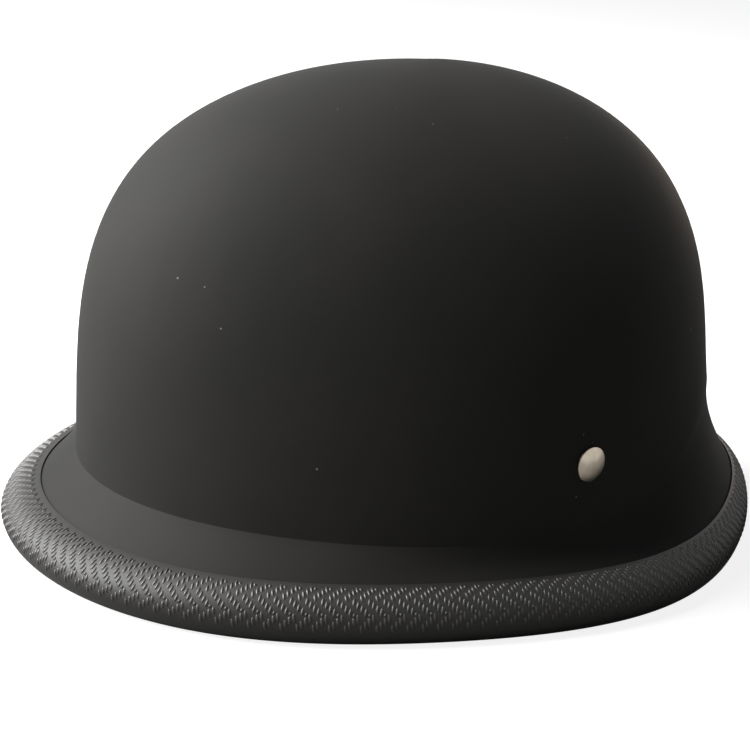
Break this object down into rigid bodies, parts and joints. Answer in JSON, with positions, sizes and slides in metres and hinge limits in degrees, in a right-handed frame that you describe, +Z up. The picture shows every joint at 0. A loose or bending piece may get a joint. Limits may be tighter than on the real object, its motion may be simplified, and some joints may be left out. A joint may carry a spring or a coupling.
{
  "type": "half helmet",
  "caption": "Matt black half helmet with a high dome, creased visor, flared skirt, woven-look edge trim, riveted chin strap and ratchet buckle.",
  "frame": {"origin": "centre of the overall box at the rim's flat underside, z = 0 on the table", "axes": "+Z up, -Y the way the visor looks, +X the wearer's left"},
  "size_m": [0.25, 0.3094, 0.1712],
  "materials": {
    "shell_paint": "matte",
    "edge_vinyl": "satin",
    "liner_foam": "matte",
    "pad_fabric": "matte",
    "rivet_metal": "satin",
    "spacer_plastic": "matte",
    "hanger_steel": "satin",
    "spring_steel": "satin",
    "webbing": "matte",
    "buckle_plastic": "satin",
    "lever_plastic": "satin",
    "keeper_rubber": "matte"
  },
  "bodies": {
    "helmet": {"outer_shell": "shell_paint", "edge_trim": "edge_vinyl", "impact_liner": "liner_foam", "crown_pad": "pad_fabric", "brow_pad": "pad_fabric", "nape_pad": "pad_fabric", "left_side_pad": "pad_fabric", "right_side_pad": "pad_fabric", "left_rivet": "rivet_metal", "right_rivet": "rivet_metal", "left_rivet_spacer": "spacer_plastic", "right_rivet_spacer": "spacer_plastic", "left_strap_hanger": "hanger_steel", "right_strap_hanger": "hanger_steel", "left_anchor_webbing": "webbing", "right_anchor_webbing": "webbing"},
    "left_strap": {"left_strap": "webbing"},
    "buckle": {"buckle_housing": "buckle_plastic", "buckle_bar": "hanger_steel", "lever_pin": "hanger_steel", "lever_spring": "spring_steel"},
    "lever": {"buckle_lever": "lever_plastic"},
    "right_strap": {"right_strap": "webbing"},
    "tongue": {"tongue": "buckle_plastic"},
    "chin_pad": {"chin_pad": "pad_fabric"},
    "keeper": {"strap_keeper": "keeper_rubber"}
  },
  "joints": [
    {"name": "left_strap_fold", "type": "hinge", "parent": "helmet", "child": "left_strap", "pos_m": [0.09978, -0.0061, 0.0011], "axis": [0.1563, -0.9877, 0], "range_deg": [0, 95]},
    {"name": "buckle_tilt", "type": "hinge", "parent": "left_strap", "child": "buckle", "pos_m": [0.04249, -0.01517, 0.0042], "axis": [0.1563, -0.9877, 0], "range_deg": [-40, 40]},
    {"name": "lever_lift", "type": "hinge", "parent": "buckle", "child": "lever", "pos_m": [0.02866, -0.01736, 0.0077], "axis": [-0.1563, 0.9877, 0], "range_deg": [0, 40], "stiffness_Nm_per_rad": 0.02, "springref_deg": -20.05},
    {"name": "right_strap_fold", "type": "hinge", "parent": "helmet", "child": "right_strap", "pos_m": [-0.09978, -0.0061, 0.0024], "axis": [-0.1563, 0.9877, 0], "range_deg": [0, 95]},
    {"name": "tongue_tilt", "type": "hinge", "parent": "right_strap", "child": "tongue", "pos_m": [0.00393, 0.01032, 0.0051], "axis": [-0.1563, 0.9877, 0], "range_deg": [-40, 40]},
    {"name": "chin_pad_slide", "type": "slide", "parent": "right_strap", "child": "chin_pad", "axis": [0.9877, 0.1563, 0], "range_m": [-0.006, 0.014]},
    {"name": "keeper_slide", "type": "slide", "parent": "right_strap", "child": "keeper", "axis": [0.9877, 0.1563, 0], "range_m": [-0.004, 0.006]}
  ]
}
